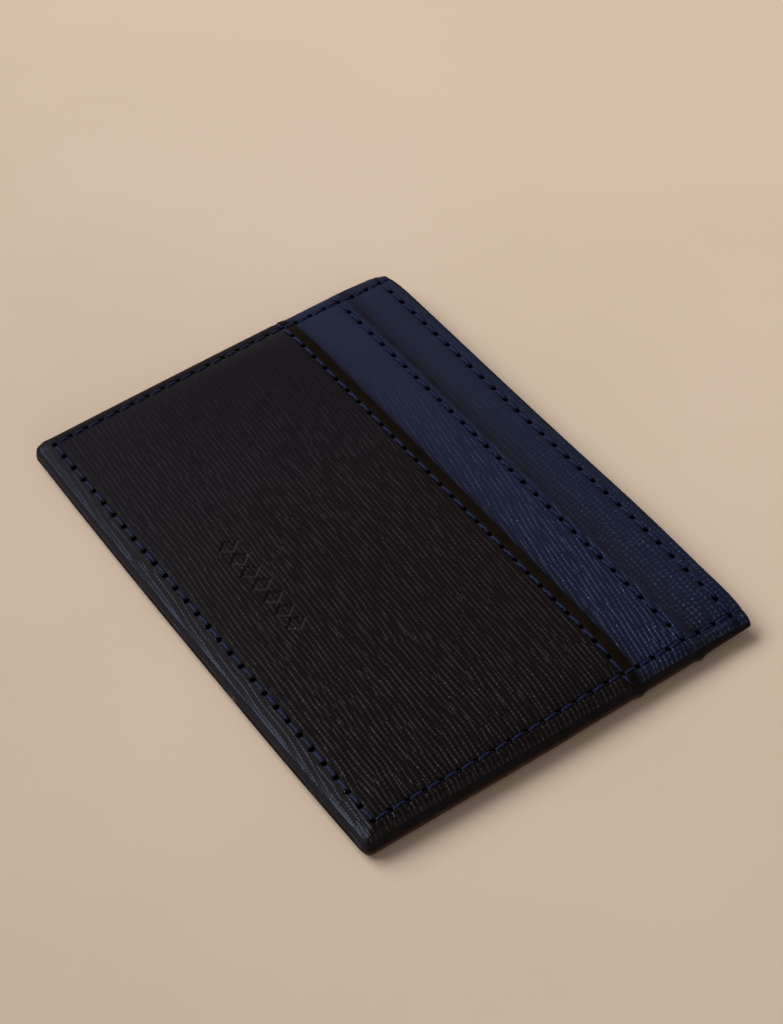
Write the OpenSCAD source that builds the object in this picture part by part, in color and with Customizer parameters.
// Flat leather card holder: two card pockets on each face and a centre compartment between them.
// Every sheet, lining, run of thread and coat of edge paint is its own solid.
// Frame: X along the long edge, +Y towards the open mouth, +Z out of the front face.
// The origin is in the middle of the back face, which is the face that the holder lies on.

/* [Overall size] */
// Length of the closed bottom edge, edge paint included
length = 100; // [90:0.5:115]
// Height from the closed bottom edge to the open mouth, edge paint included
height = 72; // [68:0.5:85]
// Radius of the two bottom corners
bottom_corner_r = 1.6; // [1:0.1:5]
// Radius of the two corners at the mouth
mouth_corner_r = 1.2; // [0.6:0.1:3]

/* [Pockets] */
// Height of the outer pockets, as a share of the holder's height
outer_share = 0.708; // [0.6:0.005:0.75]
// Height of the inner pockets, as a share of the holder's height
inner_share = 0.873; // [0.82:0.005:0.92]
// Room for a card in each pocket while it lies empty
card_gap = 0.3; // [0.2:0.05:0.6]
// Room in the centre compartment while it lies empty
centre_gap = 0.6; // [0.4:0.1:1.6]

/* [Sheets] */
// Thickness of the pocket leather
pocket_leather_t = 0.65; // [0.55:0.05:0.9]
// Thickness of the body leather
body_leather_t = 0.75; // [0.6:0.05:1]
// Thickness of the pocket linings
pocket_lining_t = 0.12; // [0.1:0.01:0.3]
// Thickness of the body linings
body_lining_t = 0.15; // [0.1:0.01:0.4]
// Width of the bonded seam allowance on three sides of each lining
seam_allowance = 4.2; // [3.6:0.1:6]

/* [Stitching] */
// Diameter of the sewing thread
thread_d = 0.4; // [0.3:0.05:0.45]
// Distance from one needle hole to the next
stitch_pitch = 3.3; // [2.4:0.1:4]
// Length of a stitch that is hidden in its two needle holes
stitch_hidden = 0.5; // [0.3:0.1:0.8]
// Distance from the outer edge to the perimeter seam
seam_inset = 2.6; // [2:0.1:3.2]
// Distance from a pocket's mouth to its top stitch
mouth_inset = 2.3; // [1.8:0.1:3]

/* [Edge paint] */
// Thickness of the paint on the cut edges
paint_t = 0.2; // [0.1:0.05:0.4]
// How far the paint stays back from the outer faces
paint_setback = 0.08; // [0.04:0.02:0.2]

/* [Hidden] */
$fn = 48;

// A layer is 0 for the outer pocket, 1 for the inner pocket and 2 for the body.
OUTER = 0;
INNER = 1;
BODY = 2;
FRONT = 1;
BACK = -1;

groove_w = thread_d + 0.3;
groove_depth = thread_d + 0.02;
half_l = length / 2;
bottom_y = -height / 2;
mouth_y = [bottom_y + height * outer_share, bottom_y + height * inner_share, height / 2];

// Heights are measured outwards from the middle plane between the two body linings.
body_lining_z = centre_gap / 2;
body_z = body_lining_z + body_lining_t;
body_face_z = body_z + body_leather_t;
pocket_stack = card_gap + pocket_lining_t + pocket_leather_t;
face_z = [body_face_z + 2 * pocket_stack, body_face_z + pocket_stack, body_face_z];
leather_t = [pocket_leather_t, pocket_leather_t, body_leather_t];
lining_t = [pocket_lining_t, pocket_lining_t, body_lining_t];
bond_t = [card_gap, card_gap, body_lining_z];
half_t = face_z[OUTER];

// The exposed stretch of each layer begins at the mouth of the layer outside it.
exposed_y0 = [bottom_y, mouth_y[OUTER], mouth_y[INNER]];

seam_x = half_l - seam_inset;
seam_y = bottom_y + seam_inset;

outer_leather_colour = "#2b2024";
inner_leather_colour = "#232a42";
body_leather_colour = "#262c3c";
lining_colour = "#1d1b22";
thread_colour = "#2a3350";
paint_colour = "#3a2a26";

// Puts a shape that is drawn on the front half onto the front or the back.
module on_side(side) {
    translate([0, 0, half_t])
        if (side == FRONT) children();
        else mirror([0, 0, 1]) children();
}

// Flat outline from the bottom edge up to y1, with round corners, drawn in from the edges.
module outline(y1, inset, top_r) {
    x = half_l - inset;
    y0 = bottom_y + inset;
    r = bottom_corner_r - inset;
    top = y1 - inset;
    translate([r - x, y0]) square([2 * (x - r), top - y0 - top_r]);
    translate([-x, y0 + r]) square([2 * x, top - top_r - y0 - r]);
    translate([top_r - x, top - top_r - 1]) square([2 * (x - top_r), top_r + 1]);
    for (sx = [-1, 1]) {
        translate([sx * (x - r), y0 + r]) circle(r);
        if (top_r > 0) translate([sx * (x - top_r), top - top_r]) circle(top_r);
    }
}

// Corner radius at the top of a layer: pockets end square, the body is rounded.
function top_r(layer) = layer == BODY ? mouth_corner_r - paint_t : 0;

// Channels that the thread is pressed into, on the exposed stretch of a layer.
module thread_channels(layer) {
    y0 = layer == OUTER ? seam_y - groove_w / 2 : exposed_y0[layer];
    side_run = mouth_y[layer] - y0 + 1;
    translate([0, 0, face_z[layer] - groove_depth]) {
        for (sx = [-1, 1])
            translate([sx * seam_x - groove_w / 2, y0, 0])
                cube([groove_w, side_run, groove_depth + 1]);
        translate([-half_l, mouth_y[layer] - mouth_inset - groove_w / 2, 0])
            cube([length, groove_w, groove_depth + 1]);
        if (layer == OUTER)
            translate([-seam_x, y0, 0])
                cube([2 * seam_x, groove_w, groove_depth + 1]);
    }
}

module leather(layer) {
    difference() {
        translate([0, 0, face_z[layer] - leather_t[layer]])
            linear_extrude(leather_t[layer])
                outline(mouth_y[layer], paint_t, top_r(layer));
        thread_channels(layer);
    }
}

// Lining sheet, with the seam allowance on three sides that bonds it to the next layer in.
module lining(layer) {
    sheet_z = face_z[layer] - leather_t[layer] - lining_t[layer];
    top = mouth_y[layer];
    open_w = length - 2 * seam_allowance;
    translate([0, 0, sheet_z])
        linear_extrude(lining_t[layer])
            outline(top, paint_t, top_r(layer));
    translate([0, 0, sheet_z - bond_t[layer]])
        linear_extrude(bond_t[layer])
            difference() {
                outline(top, paint_t, top_r(layer));
                translate([-open_w / 2, bottom_y + seam_allowance]) square([open_w, height]);
            }
}

// Whole stitches along a line from the origin along +X, lying in their channel.
module stitch_run(run) {
    count = round(run / stitch_pitch);
    pitch = run / count;
    for (i = [0 : count - 1])
        translate([i * pitch + stitch_hidden / 2, 0, thread_d / 2 - groove_depth])
            rotate([0, 90, 0])
                cylinder(d = thread_d, h = pitch - stitch_hidden);
}

module mouth_thread(layer) {
    run = length - 2 * paint_t;
    translate([-run / 2, mouth_y[layer] - mouth_inset, face_z[layer]]) stitch_run(run);
}

// One stretch of the side seam: from the bottom seam or a mouth up to the layer's top stitch.
module side_thread(layer) {
    y0 = layer == OUTER ? seam_y : mouth_y[layer - 1] - mouth_inset + stitch_pitch;
    y1 = mouth_y[layer] - mouth_inset;
    for (sx = [-1, 1])
        translate([sx * seam_x, y0, face_z[layer]])
            rotate([0, 0, 90]) stitch_run(y1 - y0);
}

module perimeter_thread() {
    for (layer = [OUTER, INNER, BODY]) side_thread(layer);
    translate([-seam_x, seam_y, face_z[OUTER]]) stitch_run(2 * seam_x);
}

// Paint over the cut edge of a layer's leather and lining, along its mouth.
module mouth_paint(layer) {
    w = length - 2 * (layer == BODY ? mouth_corner_r : paint_t);
    edge_t = leather_t[layer] + lining_t[layer] - paint_setback;
    translate([-w / 2, mouth_y[layer] - paint_t, face_z[layer] - paint_setback - edge_t])
        cube([w, paint_t, edge_t]);
}

// Ring of edge paint through the whole stack, with a step at each pocket mouth.
module edge_paint() {
    for (layer = [OUTER, INNER, BODY]) {
        half_h = face_z[layer] - paint_setback;
        translate([0, 0, half_t - half_h])
            linear_extrude(2 * half_h)
                intersection() {
                    difference() {
                        outline(height / 2, 0, mouth_corner_r);
                        outline(height / 2, paint_t, mouth_corner_r - paint_t);
                    }
                    translate([-half_l, exposed_y0[layer]])
                        square([length, mouth_y[layer] - exposed_y0[layer]]);
                }
    }
}

// Keeps the part of the edge paint that lies in one box of the outline.
module edge_paint_in(x0, x1, y0, y1) {
    intersection() {
        edge_paint();
        translate([x0, y0, 0]) cube([x1 - x0, y1 - y0, 2 * half_t]);
    }
}

module side_edge_paint(sx) {
    inner_x = half_l - mouth_corner_r;
    edge_paint_in(sx < 0 ? -half_l : inner_x, sx < 0 ? -inner_x : half_l,
                  bottom_y + bottom_corner_r, height / 2);
}

module front_outer_pocket() { color(outer_leather_colour) on_side(FRONT) leather(OUTER); }
module front_outer_pocket_lining() { color(lining_colour) on_side(FRONT) lining(OUTER); }
module front_inner_pocket() { color(inner_leather_colour) on_side(FRONT) leather(INNER); }
module front_inner_pocket_lining() { color(lining_colour) on_side(FRONT) lining(INNER); }
module front_body_panel() { color(body_leather_colour) on_side(FRONT) leather(BODY); }
module front_body_lining() { color(lining_colour) on_side(FRONT) lining(BODY); }
module back_body_lining() { color(lining_colour) on_side(BACK) lining(BODY); }
module back_body_panel() { color(body_leather_colour) on_side(BACK) leather(BODY); }
module back_inner_pocket_lining() { color(lining_colour) on_side(BACK) lining(INNER); }
module back_inner_pocket() { color(inner_leather_colour) on_side(BACK) leather(INNER); }
module back_outer_pocket_lining() { color(lining_colour) on_side(BACK) lining(OUTER); }
module back_outer_pocket() { color(outer_leather_colour) on_side(BACK) leather(OUTER); }

module front_perimeter_thread() { color(thread_colour) on_side(FRONT) perimeter_thread(); }
module back_perimeter_thread() { color(thread_colour) on_side(BACK) perimeter_thread(); }
module front_outer_mouth_thread() { color(thread_colour) on_side(FRONT) mouth_thread(OUTER); }
module front_inner_mouth_thread() { color(thread_colour) on_side(FRONT) mouth_thread(INNER); }
module front_body_mouth_thread() { color(thread_colour) on_side(FRONT) mouth_thread(BODY); }
module back_outer_mouth_thread() { color(thread_colour) on_side(BACK) mouth_thread(OUTER); }
module back_inner_mouth_thread() { color(thread_colour) on_side(BACK) mouth_thread(INNER); }
module back_body_mouth_thread() { color(thread_colour) on_side(BACK) mouth_thread(BODY); }

module front_outer_mouth_paint() { color(paint_colour) on_side(FRONT) mouth_paint(OUTER); }
module front_inner_mouth_paint() { color(paint_colour) on_side(FRONT) mouth_paint(INNER); }
module front_body_mouth_paint() { color(paint_colour) on_side(FRONT) mouth_paint(BODY); }
module back_outer_mouth_paint() { color(paint_colour) on_side(BACK) mouth_paint(OUTER); }
module back_inner_mouth_paint() { color(paint_colour) on_side(BACK) mouth_paint(INNER); }
module back_body_mouth_paint() { color(paint_colour) on_side(BACK) mouth_paint(BODY); }

module left_edge_paint() { color(paint_colour) side_edge_paint(-1); }
module right_edge_paint() { color(paint_colour) side_edge_paint(1); }
module bottom_edge_paint() {
    color(paint_colour) edge_paint_in(-half_l, half_l, bottom_y, bottom_y + bottom_corner_r);
}

front_outer_pocket();
front_outer_pocket_lining();
front_inner_pocket();
front_inner_pocket_lining();
front_body_panel();
front_body_lining();
back_body_lining();
back_body_panel();
back_inner_pocket_lining();
back_inner_pocket();
back_outer_pocket_lining();
back_outer_pocket();
front_perimeter_thread();
back_perimeter_thread();
front_outer_mouth_thread();
front_inner_mouth_thread();
front_body_mouth_thread();
back_outer_mouth_thread();
back_inner_mouth_thread();
back_body_mouth_thread();
front_outer_mouth_paint();
front_inner_mouth_paint();
front_body_mouth_paint();
back_outer_mouth_paint();
back_inner_mouth_paint();
back_body_mouth_paint();
left_edge_paint();
bottom_edge_paint();
right_edge_paint();
